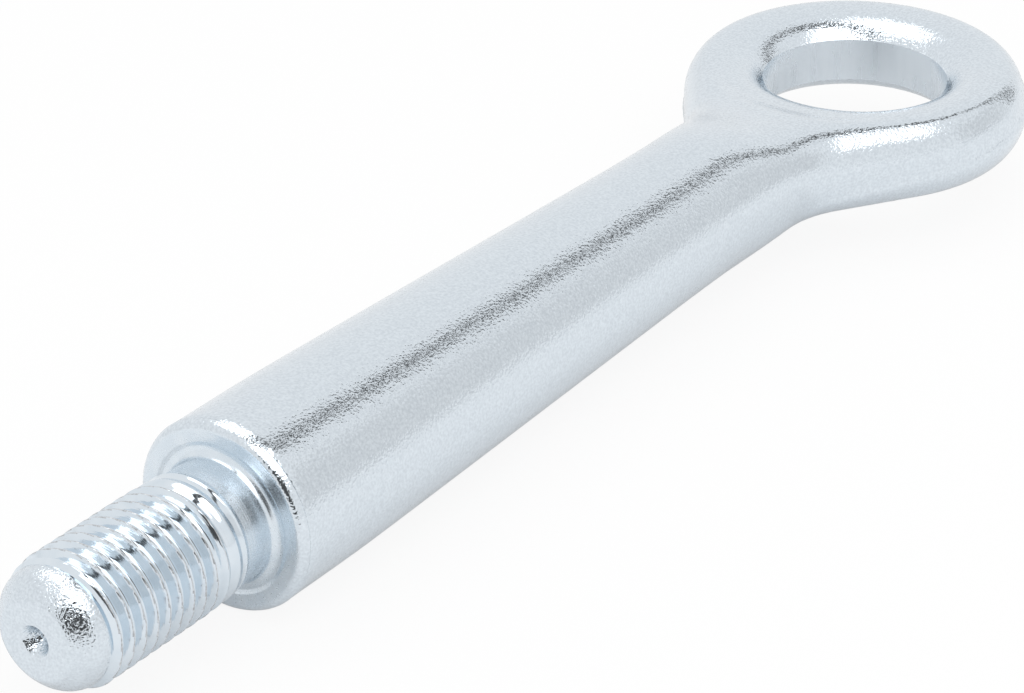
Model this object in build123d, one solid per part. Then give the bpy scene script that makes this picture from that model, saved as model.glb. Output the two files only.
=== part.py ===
import math
import os

from build123d import *

os.makedirs("parts", exist_ok=True)

# A screw-in towing eye: one steel drop forging with a round tapered shank, a punched
# eye at one end and a turned and threaded stud at the other.
# The origin is the centre of the eye's bore and +Z is the bore's axis. The shank runs from the eye
# toward -X, and the stud's free end points to -X. Stations along the axis are given from the shoulder
# and the finished body is moved so that the eye lies on the origin.

# Stud
stud_r = 7.95             # crest radius of the M16 thread
stud_length = 31.0        # from the shoulder to the end of the nose
nose_length = 3.7         # rounded nose ahead of the thread
nose_base_r = 7.25        # where the nose meets the first turn of the thread
nose_tip_r = 4.75         # flat at the end of the nose
nose_bulge_along = 0.36   # a point on the round of the nose, as shares of its length and of its rise
nose_bulge_up = 0.62
centre_hole_r = 1.8       # lathe centre in the end of the nose
centre_hole_tip_r = 0.3
centre_hole_depth = 2.0
neck_length = 4.0         # plain relief between the thread and the shoulder
neck_r = 7.45             # a little under the crest of the thread
neck_fillet = 1.1
thread_start = 0.9        # length over which the first turn rises from the nose
thread_run_out = 1.1      # length over which the last turn sinks into the neck

# Shoulder
seat_r = 10.9             # outer edge of the turned seat
seat_relief = 0.25        # how far the inner seat ring stands back from the outer one
seat_relief_r = 9.2
seat_relief_slope = 0.4   # width of the slope between the two rings
shoulder_edge = 1.1       # length along the axis of the rounded edge behind the seat
edge_knee_x = 0.39        # a point on that edge, from the seat and out from its rim
edge_knee_r = 0.45
core_overlap = 2.0        # how far the turned end runs into the forged shank
core_inset = 1.0          # and how far it stays under the skin there

# Shank, as radii at stations along the axis
shank_head_r = 11.65
shank_head_end = 14.0     # where the taper begins
shank_waist_r = 9.35
shank_waist_x = 92.0      # where the shank starts to flatten toward the eye

# Eye
root_length = 42.2        # from there to the centre of the eye
eye_outer_r = 22.6
eye_thick = 12.0
eye_edge_r = 5.2          # round of the outer edges
bore_r = 12.2
bore_wall = 5.8           # height of the punched wall of the bore
lead_in_r = 17.6          # where the lead-in of the bore meets the top of the eye
lead_in_top_angle = 8.0   # slope of the lead-in where it leaves the top of the eye
lead_in_end_angle = 46.0  # slope of the lead-in at the bore wall, from the plane of the eye
cutter_lift = 0.2         # how far the tool that cuts the bore starts above the eye

# Blend of the shank into the eye
blend_plan_r = 9.0        # concave round between shank and eye, seen along the bore
blend_neck_half = 8.9     # half width of the plate's root inside the shank
blend_neck_start = 4.0    # where that root begins, from the waist
blend_reach = 3.0         # how far the flattened shank runs past the edge of the lead-in
blend_end_half_w = 13.0   # half width of its last section
blend_end_sink = 0.4      # how far that section stays under the face of the eye
# Sections in between: share of the way, gain in half width, loss in half height
blend_steps = [
    (0.25, 0.5, 0.15),
    (0.47, 1.4, 0.85),
    (0.65, 2.3, 1.95),
    (0.82, 3.2, 2.95),
]

half = eye_thick / 2
eye_x = shank_waist_x + root_length
near = 0.01               # tolerance for picking edges and corners


def section(x, half_width, half_height):
    """An upright elliptical section of the shank at station x."""
    plane = Plane(origin=(x, 0, 0), x_dir=(0, 1, 0), z_dir=(1, 0, 0))
    return plane * Ellipse(half_width, half_height)


# Forged shank: a turned form with a straight head and a taper
shank_line = [
    Line((shoulder_edge, 0), (shoulder_edge, shank_head_r)),
    Line((shoulder_edge, shank_head_r), (shank_head_end, shank_head_r)),
    Line((shank_head_end, shank_head_r), (shank_waist_x, shank_waist_r)),
    Line((shank_waist_x, shank_waist_r), (shank_waist_x, 0)),
    Line((shank_waist_x, 0), (shoulder_edge, 0)),
]
shank = revolve(make_face(shank_line), Axis.X, 360)

# Root of the eye: the round shank flattens and widens until it lies inside the eye
blend_end_x = eye_x - lead_in_r + blend_reach
blend_span = blend_end_x - shank_waist_x
stations = [(shank_waist_x, shank_waist_r, shank_waist_r)]
for share, gain, loss in blend_steps:
    stations.append((shank_waist_x + share * blend_span, shank_waist_r + gain, shank_waist_r - loss))
stations.append((blend_end_x, blend_end_half_w, half - blend_end_sink))
shank += loft([section(*station) for station in stations])

# Plate of the eye with its root, rounded all round its edges
plate_root = root_length - blend_neck_start
plate_start = eye_x - plate_root
with BuildPart() as eye_build:
    with BuildSketch():
        with Locations((eye_x, 0)):
            Circle(eye_outer_r)
        with Locations((eye_x - plate_root / 2, 0)):
            Rectangle(plate_root, 2 * blend_neck_half)
        on_root = [v for v in vertices() if abs(abs(v.Y) - blend_neck_half) < near]
        corners = [v for v in on_root if v.X > plate_start + near]
        fillet(corners, blend_plan_r)
    extrude(amount=half, both=True)
    on_faces = [e for e in edges() if abs(abs(e.center().Z) - half) < near]
    rims = [e for e in on_faces if e.center().X > plate_start + near]
    fillet(rims, eye_edge_r)
eye_plate = eye_build.part

# Bore with a curved lead-in on both sides, as one turned cutter about the bore axis
top_z = half + cutter_lift
top_point = (lead_in_r + cutter_lift / math.tan(math.radians(lead_in_top_angle)), top_z)
wall_point = (bore_r, bore_wall / 2)
slopes = [Vector(-1, 0).rotate(Axis.Z, a) for a in (lead_in_top_angle, lead_in_end_angle)]
with BuildSketch(Plane.XZ) as cutter_sketch:
    with BuildLine():
        Spline(top_point, wall_point, tangents=slopes)
        Polyline(top_point, (0, top_z), (0, 0), (bore_r, 0), wall_point)
    make_face()
upper_cutter = Pos(eye_x, 0, 0) * revolve(cutter_sketch.sketch, Axis.Z, 360)
cutter = upper_cutter + mirror(upper_cutter, Plane.XY)

# Turned shoulder and stud, as one profile about the shank's axis
tip_x = -stud_length
nose_x = tip_x + nose_length
neck_x = -neck_length
core_x = shoulder_edge + core_overlap
nose_rise = nose_base_r - nose_tip_r
nose_mid = (tip_x + nose_bulge_along * nose_length, nose_tip_r + nose_bulge_up * nose_rise)
turned_line = [
    Line((core_x, 0), (tip_x, 0)),
    Line((tip_x, 0), (tip_x, nose_tip_r)),
    ThreePointArc((tip_x, nose_tip_r), nose_mid, (nose_x, nose_base_r)),
    Polyline(
        (nose_x, nose_base_r),
        (nose_x + thread_start, stud_r),
        (neck_x - thread_run_out, stud_r),
        (neck_x, neck_r),
        (seat_relief, neck_r),
        (seat_relief, seat_relief_r - seat_relief_slope),
        (0, seat_relief_r),
        (0, seat_r),
        (edge_knee_x, seat_r + edge_knee_r),
        (shoulder_edge, shank_head_r),
        (core_x, shank_head_r - core_inset),
        (core_x, 0),
    ),
]
turned = revolve(make_face(turned_line), Axis.X, 360)
round_edges = turned.edges().filter_by(GeomType.CIRCLE)
at_seat = [e for e in round_edges if abs(e.center().X - seat_relief) < near]
turned = fillet([e for e in at_seat if abs(e.radius - neck_r) < near], neck_fillet)
centre_hole = Plane(origin=(tip_x, 0, 0), z_dir=(1, 0, 0)) * Cone(
    centre_hole_r, centre_hole_tip_r, centre_hole_depth, align=(Align.CENTER, Align.CENTER, Align.MIN)
)

body = shank + eye_plate - cutter + turned - centre_hole
body = Pos(-eye_x, 0, 0) * body
export_step(body, "parts/towing_eye.step")
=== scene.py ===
import math

import bpy
import numpy as np
from mathutils import Matrix, Vector


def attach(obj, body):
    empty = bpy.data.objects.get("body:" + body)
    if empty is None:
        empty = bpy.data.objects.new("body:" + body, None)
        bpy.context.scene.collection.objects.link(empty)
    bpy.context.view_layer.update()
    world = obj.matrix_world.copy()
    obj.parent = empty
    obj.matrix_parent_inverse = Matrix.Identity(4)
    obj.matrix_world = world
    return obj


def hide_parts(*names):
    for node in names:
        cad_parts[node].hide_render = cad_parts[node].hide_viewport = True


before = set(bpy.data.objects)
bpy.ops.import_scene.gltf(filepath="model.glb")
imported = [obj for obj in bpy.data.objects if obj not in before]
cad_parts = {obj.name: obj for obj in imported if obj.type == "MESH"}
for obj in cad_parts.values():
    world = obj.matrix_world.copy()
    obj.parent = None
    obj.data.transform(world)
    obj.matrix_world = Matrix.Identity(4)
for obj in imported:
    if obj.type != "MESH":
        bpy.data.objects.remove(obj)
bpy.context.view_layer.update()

NODE = "towing_eye"

# Sizes of the part are in millimetres. The origin is the centre of the eye's bore and +Z is the bore's axis.
MM = 0.001
shoulder_x = -134.2        # station of the turned seat

# Forged shank
head_r = 11.65
head_length = 14.0
waist_r = 9.35
waist_x = -42.2
taper_soft = 4.0           # how softly the straight head turns into the taper
waist_soft = 12.0          # and how softly the taper ends at the waist
forged_start = 0.95        # where the forged skin begins under the turned edge, from the seat
skin_from = 0.5            # dip of the skin there: its start, its length and its depth
skin_run = 1.3
skin_dip = 0.5

# Root of the eye
root_end_x = -18.0
root_stop_x = -8.0         # where the flattened shank ends inside the eye
root_gain = 1.2            # gain in half width from the waist to the eye
root_loss = 3.75           # loss in half height
root_gain_power = 1.15
root_loss_power = 1.2
root_square = 0.9          # how much squarer than an ellipse the section becomes
root_blend = 1.8           # fillet between the root and the eye

# Eye
outer_r = 22.6
half_thick = 6.0
edge_round = 5.2           # width of the rounded rim
edge_power = 2.15          # 2 would make it an ellipse
flank_lean = 34.0          # angle between the shank's axis and the straight flanks of the eye
bore_r = 12.2
wall_half = 2.9            # half the height of the punched wall
lead_r = 17.6              # outer edge of the lead-in
lead_slope = math.tan(math.radians(46))
lead_top_slope = math.tan(math.radians(8))
lead_curl = 0.12           # how fast the lead-in rises past its edge
lead_even = 0.7            # mean slope that evens out its field
lead_blend = 2.0
bore_tool_half = 9.0

# Parting line of the dies
parting_z = -0.2           # its height at the bore's axis
parting_tilt = 0.1         # and its rise along the axis of the shank
parting_soft = 0.8
parting_step = 0.35

# Thread, as stations from the seat
stud_r = 7.95
root_r = 6.77
pitch = 2.0
crest_x = -26.4            # a crest at crest_angle, measured from +Z toward -Y
crest_angle = 60.0
crest_half = 0.09          # half width of the flat crest
crest_skin = 0.07          # depth of the worn crest
flank_end = 0.78           # distance from the crest at which the flank has reached the root
root_curve = 0.35          # share of the flank that is rounded into the root
thread_rise = 0.9          # length over which the first turn rises
thread_end = -5.0
fade_from = -10.4          # the last turns fade between these stations
fade_to = -6.6
fade_share = 0.85
crest_drop = 0.2

# Turned end, as stations from the seat
stud_length = 31.0
nose_length = 3.7
nose_base_r = 7.25
nose_tip_r = 4.75
nose_power = 2.17          # fullness of the nose
nose_edge = 0.25           # width of its soft edge
hole_r = 1.8
hole_rim = 0.4             # where the flat round the hole begins, out from the hole
neck_r = 7.45
neck_fillet = 1.1
seat_relief = 0.25
seat_relief_r = 9.2
seat_r = 10.9
seat_depth = 0.5           # the relief of the seat lies in front of this station
# Depth from the tip, and radius past that of the hole
hole_line = [(2.0, -1.5), (0.5, -0.35), (0.12, -0.05), (0.0, 0.1)]
# Station, and radius past that of the neck
neck_line = [(-4.8, 0.2), (-4.6, 0.05), (-4.2, 0.0), (-3.2, 0.0), (-2.0, 0.0), (-1.2, 0.0)]
# Station and radius on the seat
seat_line = [(seat_relief, 8.7), (seat_relief, 8.8), (0.02, seat_relief_r)]
seat_line += [(0.0, 9.35), (0.0, 9.9), (0.0, 10.5), (0.0, seat_r - 0.1)]
# Station, and radius past the rim of the seat, then past the head of the shank
edge_line = [(0.08, 0.12), (0.32, 0.42), (0.65, 0.62)]
lip_line = [(0.9, -0.02), (1.1, 0.03), (1.25, -0.02), (1.5, -0.25), (2.1, -0.9), (3.1, -1.2)]

# Fineness of the meshes
net_step = 0.65
net_margin = 2.0
ring_step = 0.085
segments = 176
bore_segments = 256
sharp_angle = 32.0
tiny = 1e-9

# Colours of the plating, from its darker to its lighter spots
forged_tones = [(0.65, 0.71, 0.765), (0.76, 0.825, 0.88)]
turned_tones = [(0.70, 0.775, 0.84), (0.755, 0.82, 0.875)]
# Punched wall: the streaky spots are real drawing marks, but the higher level is painted light that
# brightens the wall where it mirrors the shaded floor.
punched_painted_light_tones = [(0.79, 0.855, 0.91), (0.83, 0.89, 0.94)]
crest_tones = [(0.42, 0.44, 0.46), (0.74, 0.77, 0.8)]
floor_tones = [(0.72, 0.72, 0.72), (0.74, 0.74, 0.74)]

# Light, in metres and degrees, with levels where 1 is white
camera_lift = 0.9          # how far the floor is lifted to white for the camera
mirror_lift = 0.25         # and in the metal
dome_level = 0.93
middle = Vector((-0.07, -0.052, 0))
gap_heading = -12.4        # plan direction of the dark gap between the two soft boxes
gap_half_width = 0.05      # at the horizon
gap_widening = 0.045       # and how much wider it is overhead
gap_reach = 1.0            # distance of the gap card from the part
gap_sweep = 112            # angle from the horizon over which it runs
gap_level = 0.1
side_from = -28            # headings of the grey card beside the shank
side_sweep = -40
side_reach = 1.3
side_height = 0.8
side_level = 0.8
card_steps = 24
nose_place = Vector((-0.165, -0.003, 0.004))
nose_card_heading = -137
nose_card_rise = 22
nose_card_reach = 0.15
nose_card_half = 0.066
nose_card_level = 0.08
box_level = 1.5
box_height = 1.0
# Side of the gap, depth, width and shift back of each soft box
soft_boxes = [(-1, 1.1, 1.2, 0.25), (1, 0.7, 0.65, 0.02)]
floor_half = 3.0

# Camera
camera_place = (-0.44354, -0.25959, 0.23794)
camera_heading = 35.427
camera_pitch = 28.277
camera_roll = -0.201
camera_lens = 149.046
camera_sensor = 36


def smooth(t):
    """A soft step from 0 to 1."""
    t = np.clip(t, 0, 1)
    return t * t * (3 - 2 * t)


def soft_min(a, b, reach):
    """The smaller of two fields with a fillet of the given reach between them."""
    h = np.clip(0.5 + 0.5 * (b - a) / reach, 0, 1)
    return b + (a - b) * h - reach * h * (1 - h)


def soft_max(a, b, reach):
    """The larger of two fields, with the same fillet."""
    return -soft_min(-a, -b, reach)


def shank_field(x, y, z):
    """Tapered shank that flattens and widens toward the eye."""
    taper = waist_x - shoulder_x - head_length
    along = soft_min(x - shoulder_x - head_length, taper, waist_soft)
    slope = (head_r - waist_r) / taper
    radius = head_r - slope * 0.5 * (along + np.sqrt(along ** 2 + taper_soft ** 2))
    radius = radius - skin_dip * (1 - smooth((x - shoulder_x - skin_from) / skin_run))
    share = np.clip((x - waist_x) / (root_end_x - waist_x), 0, 1)
    wide = radius + root_gain * smooth(share ** root_gain_power)
    high = radius - root_loss * smooth(share ** root_loss_power)
    power = 2 + root_square * smooth(share)
    across, up = np.abs(y) / wide, np.abs(z) / high
    near = (across ** power + up ** power) ** (1 / power) + tiny
    lean = power - 1
    steep = np.hypot(across ** lean / wide, up ** lean / high) / near ** lean + tiny
    field = (near - 1) / steep
    ends = np.maximum(shoulder_x + forged_start - x, x - root_stop_x)
    return np.maximum(field, ends)


def plan_distance(x, y):
    """Distance from the plan of the eye: a ring with straight flanks toward the shank."""
    y = np.abs(y)
    lean = math.radians(flank_lean)
    to_ring = np.hypot(x, y) - outer_r
    to_flank = y * math.cos(lean) - x * math.sin(lean) - outer_r
    past = x * math.cos(lean) + y * math.sin(lean) < 0
    return np.where(past, to_flank, to_ring)


def eye_field(x, y, z):
    """Plate of the eye with a rounded rim and the step of the parting line."""
    plan = plan_distance(x, y)
    plan = plan - parting_step * smooth((parting_z + parting_tilt * x - z) / parting_soft + 0.5)
    edge = np.maximum(plan + edge_round, 0) / edge_round
    tall = np.abs(z) / half_thick
    field = (edge ** edge_power + tall ** edge_power) ** (1 / edge_power) - 1
    return field * 0.5 * (edge_round + half_thick)


def lead_field(x, y, z):
    """The dished lead-in of the bore."""
    rho = np.hypot(x, y)
    span = lead_r - bore_r
    t = np.clip((rho - bore_r) / span, 0, 1)
    rise = half_thick - wall_half
    height = wall_half + rise * t * t * (3 - 2 * t)
    height = height + span * lead_slope * t * (1 - t) ** 2 - span * lead_top_slope * t * t * (1 - t)
    height = height + lead_slope * np.minimum(rho - bore_r, 0)
    beyond = np.maximum(rho - lead_r, 0)
    height = height + lead_top_slope * beyond + lead_curl * beyond ** 2
    return (np.abs(z) - height) / math.hypot(1, lead_even)


def forged_field(points):
    """The whole forging without its bore, as a field that is negative inside."""
    x, y, z = points[..., 0], points[..., 1], points[..., 2]
    body = soft_min(shank_field(x, y, z), eye_field(x, y, z), root_blend)
    return soft_max(body, lead_field(x, y, z), lead_blend)


def field_net(field, low, high, step):
    """A quad mesh on the zero level of a field: one corner in each cell that the surface crosses."""
    axes = [np.arange(a, b + step, step) for a, b in zip(low, high)]
    grid = np.stack(np.meshgrid(*axes, indexing="ij"), -1)
    value = field(grid)
    inside = value < 0
    cells = tuple(n - 1 for n in value.shape)
    total = np.zeros(cells + (3,))
    count = np.zeros(cells)
    for axis in range(3):
        first = [slice(None)] * 3
        second = [slice(None)] * 3
        first[axis] = slice(0, -1)
        second[axis] = slice(1, None)
        a, b = value[tuple(first)], value[tuple(second)]
        cut = (a < 0) != (b < 0)
        share = np.where(cut, a / np.where(cut, a - b, 1), 0)
        spot = grid[tuple(first)].copy()
        spot[..., axis] += share * step
        others = [k for k in range(3) if k != axis]
        for i in (0, 1):
            for j in (0, 1):
                window = [slice(None)] * 3
                window[others[0]] = slice(i, cells[others[0]] + i)
                window[others[1]] = slice(j, cells[others[1]] + j)
                hit = cut[tuple(window)]
                total += np.where(hit[..., None], spot[tuple(window)], 0)
                count += hit
    index = np.full(cells, -1)
    used = count > 0
    index[used] = np.arange(used.sum())
    corners = total[used] / count[used][:, None]
    quads = []
    for axis in range(3):
        others = [(axis + 1) % 3, (axis + 2) % 3]
        first = [slice(None)] * 3
        second = [slice(None)] * 3
        first[axis] = slice(0, -1)
        second[axis] = slice(1, None)
        for k in others:
            first[k] = second[k] = slice(1, -1)
        a, b = inside[tuple(first)], inside[tuple(second)]
        where = np.argwhere(a != b)
        leaves = a[tuple(where.T)]
        ring = []
        for i, j in ((0, 0), (1, 0), (1, 1), (0, 1)):
            cell = where.copy()
            cell[:, others[0]] += i
            cell[:, others[1]] += j
            ring.append(index[tuple(cell.T)])
        ring = np.stack(ring, -1)
        quads.append(np.where(leaves[:, None], ring, ring[:, ::-1]))
    return corners, np.concatenate(quads)


def settle(field, points, rounds):
    """Moves points onto the zero level of a field."""
    reach = 0.02
    for _ in range(rounds):
        value = field(points)
        slope = np.stack([
            (field(points + reach * e) - field(points - reach * e)) / (2 * reach) for e in np.eye(3)
        ], -1)
        points = points - slope * (value / (np.sum(slope ** 2, -1) + tiny))[:, None]
    return points


def relax(points, quads, rounds):
    """Evens out the spacing of a quad mesh that is then settled again."""
    starts = np.concatenate([quads[:, k] for k in range(4)])
    ends = np.concatenate([quads[:, (k + 1) % 4] for k in range(4)])
    for _ in range(rounds):
        total = np.zeros_like(points)
        count = np.zeros(len(points))
        np.add.at(total, starts, points[ends])
        np.add.at(count, starts, 1)
        points = 0.5 * points + 0.5 * total / count[:, None]
        points = settle(forged_field, points, 1)
    return points


def make_object(name, points, faces, scale=MM):
    """A mesh object from points and faces."""
    mesh = bpy.data.meshes.new(name)
    mesh.from_pydata((np.asarray(points) * scale).tolist(), [], [list(map(int, f)) for f in faces])
    mesh.validate()
    mesh.update()
    obj = bpy.data.objects.new(name, mesh)
    bpy.context.scene.collection.objects.link(obj)
    return obj


def thread_height(x, angle):
    """Radius of the stud at a station and an angle, with a right-hand thread that fades into the neck."""
    turn = (x - crest_x) / pitch - (angle - math.radians(crest_angle)) / (2 * math.pi)
    away = np.abs(turn - np.round(turn)) * pitch
    up = np.clip((flank_end - away) / (flank_end - crest_half), 0, 1)
    up = np.where(up < root_curve, up * up / (2 * root_curve), up - root_curve / 2)
    up = up / (1 - root_curve / 2)
    fade = 1 - fade_share * smooth((x - fade_from) / (fade_to - fade_from))
    crest = stud_r - crest_drop * smooth((x - fade_from) / (thread_end - fade_from))
    return crest - (stud_r - root_r) * (1 - up) * fade


def turned_profile():
    """Stations and radii of the turned end from the lathe centre to the forged shank."""
    tip = -stud_length
    line = [(tip + depth, hole_r + past) for depth, past in hole_line]
    line += [(tip, r) for r in np.linspace(hole_r + hole_rim, nose_tip_r - nose_edge, 6)]
    for t in np.concatenate([[0.012, 0.035], np.linspace(0.07, 1, 14)]):
        rise = (nose_base_r - nose_tip_r) * (1 - (1 - t) ** nose_power)
        line.append((tip + nose_length * t, nose_tip_r + rise))
    start = tip + nose_length
    count = int((thread_end - start) / ring_step)
    line += [(x, None) for x in np.linspace(start, thread_end, count)[1:]]
    line += [(x, neck_r + past) for x, past in neck_line]
    for a in np.radians(np.linspace(0, 90, 9))[1:]:
        line.append((
            seat_relief - neck_fillet * (1 - math.sin(a)),
            neck_r + neck_fillet * (1 - math.cos(a)),
        ))
    line += seat_line
    line += [(x, seat_r + past) for x, past in edge_line]
    line += [(x, head_r + past) for x, past in lip_line]
    return line


def turned_mesh():
    """The turned end as rings of points, where a station without a radius belongs to the thread."""
    line = turned_profile()
    angle = np.linspace(0, 2 * math.pi, segments, endpoint=False)
    points, faces = [], []
    start = -stud_length + nose_length
    for x, r in line:
        if r is None:
            limit = nose_base_r + (stud_r - nose_base_r) * min((x - start) / thread_rise, 1)
            radius = np.minimum(thread_height(x, angle), limit)
        else:
            radius = np.full(segments, r)
        station = np.full(segments, shoulder_x + x)
        points.append(np.stack([station, -radius * np.sin(angle), radius * np.cos(angle)], -1))
    rings = len(points)
    ends = [[shoulder_x + line[i][0], 0, 0] for i in (0, -1)]
    flat = np.concatenate(points + [ends])
    first, last = rings * segments, rings * segments + 1
    for j in range(segments):
        k = (j + 1) % segments
        faces.append((first, k, j))
        faces.append((last, (rings - 1) * segments + j, (rings - 1) * segments + k))
        for i in range(rings - 1):
            a, b = i * segments, (i + 1) * segments
            faces.append((a + j, a + k, b + k, b + j))
    return flat, faces


def bore_mesh():
    """A cylinder that cuts the bore."""
    count = bore_segments
    angle = np.linspace(0, 2 * math.pi, count, endpoint=False)
    ring = np.stack([bore_r * np.cos(angle), bore_r * np.sin(angle)], -1)
    points = [(x, y, z) for z in (-bore_tool_half, bore_tool_half) for x, y in ring]
    faces = [tuple(range(count))[::-1], tuple(range(count, 2 * count))]
    faces += [(j, (j + 1) % count, count + (j + 1) % count, count + j) for j in range(count)]
    return points, faces


def combine(target, tool, operation):
    """Applies a boolean and removes the tool."""
    change = target.modifiers.new("combine", "BOOLEAN")
    change.operation = operation
    change.solver = "MANIFOLD"
    change.object = tool
    bpy.context.view_layer.update()
    result = bpy.data.meshes.new_from_object(target.evaluated_get(bpy.context.evaluated_depsgraph_get()))
    target.modifiers.clear()
    target.data = result
    bpy.data.objects.remove(tool)


# The part
low = (shoulder_x - 1, -outer_r - net_margin, -head_r - 1.5)
high = (outer_r + net_margin, outer_r + net_margin, head_r + 1.5)
corners, quads = field_net(forged_field, low, high, net_step)
corners = settle(forged_field, corners, 3)
corners = relax(corners, quads, 4)
corners = settle(forged_field, corners, 2)
eye = make_object("forging", corners, quads)
combine(eye, make_object("bore_tool", *bore_mesh()), "DIFFERENCE")
combine(eye, make_object("turned_tool", *turned_mesh()), "UNION")
eye.data.polygons.foreach_set("use_smooth", [True] * len(eye.data.polygons))
eye.data.set_sharp_from_angle(angle=math.radians(sharp_angle))


def add_node(tree, kind, links=None, **values):
    """A shader node with its plain settings, its socket values and the outputs that feed it."""
    node = tree.nodes.new(kind)
    for key, value in values.items():
        setattr(node, key, value)
    for key, value in (links or {}).items():
        if isinstance(value, bpy.types.NodeSocket):
            tree.links.new(value, node.inputs[key])
        else:
            node.inputs[key].default_value = value
    return node


def ramp(tree, source, stops):
    """A colour ramp with stops of (place, colour or level)."""
    node = add_node(tree, "ShaderNodeValToRGB", {"Fac": source})
    node.color_ramp.elements[0].position = stops[0][0]
    node.color_ramp.elements[1].position = stops[-1][0]
    for place, _ in stops[1:-1]:
        node.color_ramp.elements.new(place)
    for element, (_, tone) in zip(node.color_ramp.elements, stops):
        element.color = (*tone, 1) if isinstance(tone, tuple) else (tone, tone, tone, 1)
    return node.outputs["Color"]


def metal(name):
    """An empty plated-metal material and its coordinates in millimetres."""
    made = bpy.data.materials.new(name)
    made.use_nodes = True
    tree = made.node_tree
    shader = tree.nodes["Principled BSDF"]
    shader.inputs["Metallic"].default_value = 1
    place = add_node(tree, "ShaderNodeTexCoord").outputs["Object"]
    place = add_node(tree, "ShaderNodeVectorMath", {0: place, "Scale": 1 / MM}, operation="SCALE")
    return made, tree, shader, place.outputs[0]


def noise(tree, place, scale, detail=2.0, rough=0.5):
    """Cloudy noise with a scale in spots per millimetre."""
    sockets = {"Vector": place, "Scale": scale, "Detail": detail, "Roughness": rough}
    return add_node(tree, "ShaderNodeTexNoise", sockets).outputs["Fac"]


def bump(tree, height, strength, distance, before=None):
    """A bumped normal with a depth in millimetres, on top of an earlier one."""
    sockets = {"Height": height, "Strength": strength, "Distance": distance * MM}
    if before is not None:
        sockets["Normal"] = before
    return add_node(tree, "ShaderNodeBump", sockets).outputs["Normal"]


def dress(tree, shader, tones, roughness, normal):
    """Feeds the shader of a plated metal."""
    tree.links.new(tones, shader.inputs["Base Color"])
    tree.links.new(roughness, shader.inputs["Roughness"])
    tree.links.new(normal, shader.inputs["Normal"])


def spread(low, high, values):
    """Two stops of a ramp."""
    return [(low, values[0]), (high, values[1])]


def forged_zinc(name, grain_scale, grain_depth):
    """Plating over the fine grain of a forged skin."""
    made, tree, shader, place = metal(name)
    grain = noise(tree, place, grain_scale, 1.0, 0.5)
    tones = ramp(tree, grain, spread(0.3, 0.7, forged_tones))
    roughness = ramp(tree, grain, spread(0.3, 0.7, (0.09, 0.15)))
    waves = bump(tree, noise(tree, place, 0.45), 0.6, 0.06)
    dress(tree, shader, tones, roughness, bump(tree, grain, 1.0, grain_depth, waves))
    return made


def crest_zinc(name):
    """Duller and speckled plating on the crests of the thread."""
    made, tree, shader, place = metal(name)
    speck = noise(tree, place, 4.0, 3.0, 0.7)
    tones = ramp(tree, speck, spread(0.35, 0.65, crest_tones))
    roughness = ramp(tree, speck, spread(0.35, 0.65, (0.45, 0.25)))
    dress(tree, shader, tones, roughness, bump(tree, speck, 1.0, 0.05))
    return made


def turned_zinc(name, gloss, satin):
    """Bright plating over the fine rings left by the lathe."""
    made, tree, shader, place = metal(name)
    split = add_node(tree, "ShaderNodeSeparateXYZ", {0: place})
    flat = add_node(tree, "ShaderNodeCombineXYZ", {"Y": split.outputs["Y"], "Z": split.outputs["Z"]})
    radius = add_node(tree, "ShaderNodeVectorMath", {0: flat.outputs[0]}, operation="LENGTH")
    lathe = add_node(tree, "ShaderNodeCombineXYZ", {"X": split.outputs["X"], "Y": radius.outputs["Value"]})
    lines = noise(tree, lathe.outputs[0], 5.0)
    speck = noise(tree, place, 3.0)
    tones = ramp(tree, noise(tree, place, 0.5), spread(0.3, 0.7, turned_tones))
    roughness = ramp(tree, speck, spread(0.35, 0.7, (gloss, satin)))
    marks = bump(tree, lines, 0.5, 0.02)
    dress(tree, shader, tones, roughness, bump(tree, speck, 0.5, 0.008, marks))
    return made


def punched_zinc(name):
    """Plating over the drawn streaks of the punched wall, whose lighter tone is partly painted light that
    brightens the wall where it mirrors the shaded floor.
    """
    made, tree, shader, place = metal(name)
    drawn = add_node(tree, "ShaderNodeVectorMath", {0: place, 1: (1, 1, 0.15)}, operation="MULTIPLY")
    streak = noise(tree, drawn.outputs[0], 0.7)
    tones = ramp(tree, streak, spread(0.3, 0.7, punched_painted_light_tones))
    roughness = ramp(tree, streak, spread(0.3, 0.7, (0.24, 0.34)))
    dress(tree, shader, tones, roughness, bump(tree, streak, 0.4, 0.02))
    return made


FORGED, NOSE, TURNED, PUNCHED, CREST, NECK = range(6)


def finish_at(x, y, z):
    """Which finish the part has at a point."""
    along = x - shoulder_x
    off_axis = math.hypot(y, z)
    if along < -stud_length + nose_length:
        return NOSE
    if along < thread_end and off_axis > stud_r - crest_skin:
        return CREST
    if along < thread_end:
        return TURNED
    if along < 0.03 or (along < seat_depth and off_axis < seat_relief_r):
        return NECK
    if math.hypot(x, y) < bore_r + 0.05:
        return PUNCHED
    return FORGED


eye.data.materials.clear()
for made in (
    forged_zinc("forged_zinc", 3.0, 0.05),
    forged_zinc("nose_zinc", 3.4, 0.1),
    turned_zinc("turned_zinc", 0.06, 0.13),
    punched_zinc("punched_zinc"),
    crest_zinc("crest_zinc"),
    turned_zinc("neck_zinc", 0.2, 0.3),
):
    eye.data.materials.append(made)
for face in eye.data.polygons:
    face.material_index = finish_at(*(face.center / MM))
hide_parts(NODE)
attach(eye, "root")


def plain(name, level):
    """A card or panel that only gives off light, in a level where 1 is white."""
    made = bpy.data.materials.new(name)
    made.use_nodes = True
    tree = made.node_tree
    tree.nodes.remove(tree.nodes["Principled BSDF"])
    glow = add_node(tree, "ShaderNodeEmission", {"Color": (level, level, level, 1), "Strength": 1})
    tree.links.new(glow.outputs[0], tree.nodes["Material Output"].inputs["Surface"])
    return made


def math_node(tree, operation, first, second):
    """The output of a node that works on two numbers."""
    return add_node(tree, "ShaderNodeMath", {0: first, 1: second}, operation=operation).outputs[0]


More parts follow.
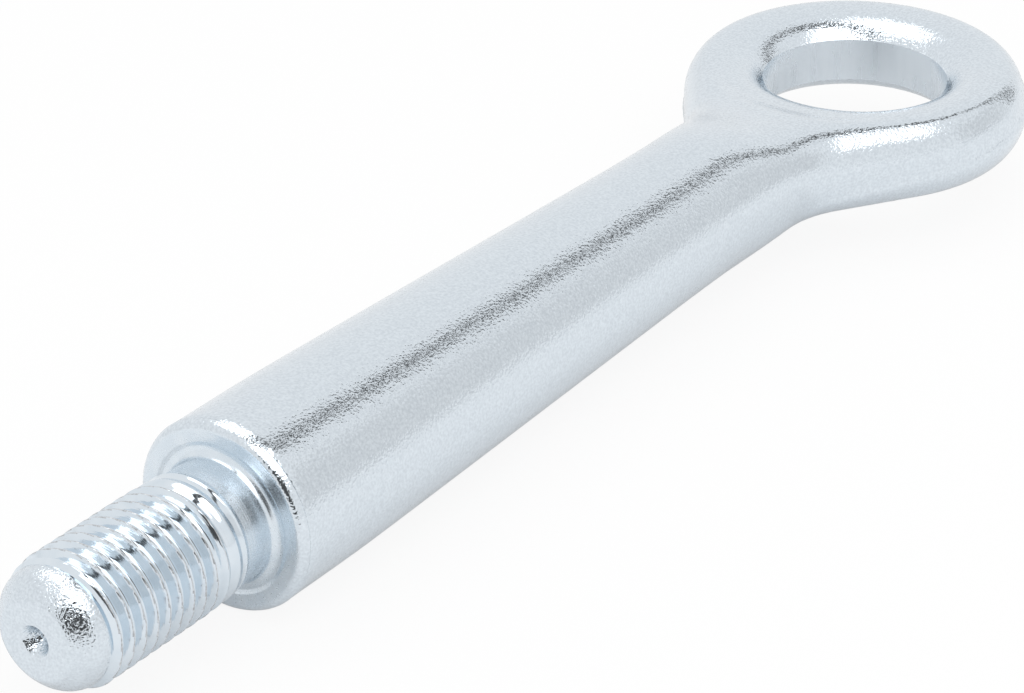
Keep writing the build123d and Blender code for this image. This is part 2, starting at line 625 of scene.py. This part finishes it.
def floor_material():
    """Pale floor with a shadow, lifted toward white where it is seen or mirrored."""
    made = bpy.data.materials.new("pale_floor")
    made.use_nodes = True
    tree = made.node_tree
    shader = tree.nodes["Principled BSDF"]
    place = add_node(tree, "ShaderNodeTexCoord").outputs["Object"]
    tones = ramp(tree, noise(tree, place, 4.0), spread(0.3, 0.7, floor_tones))
    tree.links.new(tones, shader.inputs["Base Color"])
    shader.inputs["Roughness"].default_value = 0.9
    shader.inputs["Specular IOR Level"].default_value = 0
    path = add_node(tree, "ShaderNodeLightPath").outputs
    mirrored = math_node(tree, "MAXIMUM", path["Is Glossy Ray"], path["Is Transmission Ray"])
    mirrored = math_node(tree, "MULTIPLY", mirrored, mirror_lift)
    seen = math_node(tree, "MULTIPLY", path["Is Camera Ray"], camera_lift)
    lift = math_node(tree, "MAXIMUM", seen, mirrored)
    white = add_node(tree, "ShaderNodeEmission", {"Color": (1, 1, 1, 1), "Strength": 1}).outputs[0]
    mix = add_node(tree, "ShaderNodeMixShader", {0: lift, 1: shader.outputs[0], 2: white})
    tree.links.new(mix.outputs[0], tree.nodes["Material Output"].inputs["Surface"])
    return made


# Floor
floor_z = -head_r * MM
square = [(-1, -1), (1, -1), (1, 1), (-1, 1)]
floor_points = [(floor_half * i, floor_half * j, floor_z) for i, j in square]
floor = make_object("floor", floor_points, [(0, 1, 2, 3)], 1)
floor.data.materials.append(floor_material())


def stage_card(name, points, faces, level):
    """A card that only shows in the metal."""
    card = make_object(name, points, faces, 1)
    card.data.materials.append(plain(name, level))
    card.visible_camera = False
    card.visible_shadow = False
    card.visible_diffuse = False


def stage_band(name, pairs, level):
    """A curved card through pairs of points."""
    points = [point for pair in pairs for point in pair]
    faces = [(2 * i, 2 * i + 1, 2 * i + 3, 2 * i + 2) for i in range(len(pairs) - 1)]
    stage_card(name, points, faces, level)


def direction(heading, rise=0):
    """A unit vector at a heading and a rise above the floor, in degrees."""
    heading, rise = math.radians(heading), math.radians(rise)
    flat = math.cos(rise)
    return Vector((math.cos(heading) * flat, math.sin(heading) * flat, math.sin(rise)))


# Dark gap between the soft boxes, from the horizon to past the zenith
upright = Vector((0, 0, 1))
ahead = direction(gap_heading)
aside = Vector((-ahead.y, ahead.x, 0))
pairs = []
for i in range(card_steps + 1):
    a = math.radians(gap_sweep * i / card_steps)
    spot = middle + gap_reach * (math.cos(a) * ahead + math.sin(a) * upright)
    half_width = gap_half_width + gap_widening * math.sin(a) ** 4
    pairs.append((spot - half_width * aside, spot + half_width * aside))
stage_band("dark_gap", pairs, gap_level)

# Grey side of the room, seen in the near side of the shank
pairs = []
for i in range(card_steps + 1):
    spot = middle + side_reach * direction(side_from + side_sweep * i / card_steps)
    pairs.append((spot, spot + side_height * upright))
stage_band("grey_side", pairs, side_level)

# Dark card seen in the nose
toward = direction(nose_card_heading, nose_card_rise)
across = toward.cross(upright).normalized()
upward = across.cross(toward)
card_middle = nose_place + nose_card_reach * toward
corners = [card_middle + nose_card_half * (i * across + j * upward) for i, j in square]
stage_card("dark_card", corners, [(0, 1, 2, 3)], nose_card_level)

# Soft boxes on both sides of the gap
for side, depth, width, back in soft_boxes:
    lamp = bpy.data.lights.new("soft_box", "AREA")
    lamp.shape = "RECTANGLE"
    lamp.size = width
    lamp.size_y = depth
    lamp.energy = box_level * math.pi * lamp.size * lamp.size_y
    box = bpy.data.objects.new("soft_box", lamp)
    out = gap_half_width + gap_widening + depth / 2
    box.location = middle + side * out * aside - back * ahead + box_height * upright
    box.rotation_euler = (0, 0, math.radians(gap_heading))
    bpy.context.scene.collection.objects.link(box)

# Camera at the photograph's viewing angle
camera = bpy.data.objects.new("camera", bpy.data.cameras.new("camera"))
camera.data.lens = camera_lens
camera.data.sensor_width = camera_sensor
turn = Matrix.Rotation(math.radians(camera_heading - 90), 4, "Z")
tilt = Matrix.Rotation(math.radians(90 - camera_pitch), 4, "X")
roll = Matrix.Rotation(math.radians(camera_roll), 4, "Z")
camera.matrix_world = Matrix.Translation(camera_place) @ turn @ tilt @ roll
bpy.context.scene.collection.objects.link(camera)
bpy.context.scene.camera = camera

# World and view
world = bpy.data.worlds.new("world")
bpy.context.scene.world = world
world.use_nodes = True
background = world.node_tree.nodes["Background"]
background.inputs["Color"].default_value = (dome_level, dome_level, dome_level, 1)
bpy.context.scene.view_settings.view_transform = "Standard"
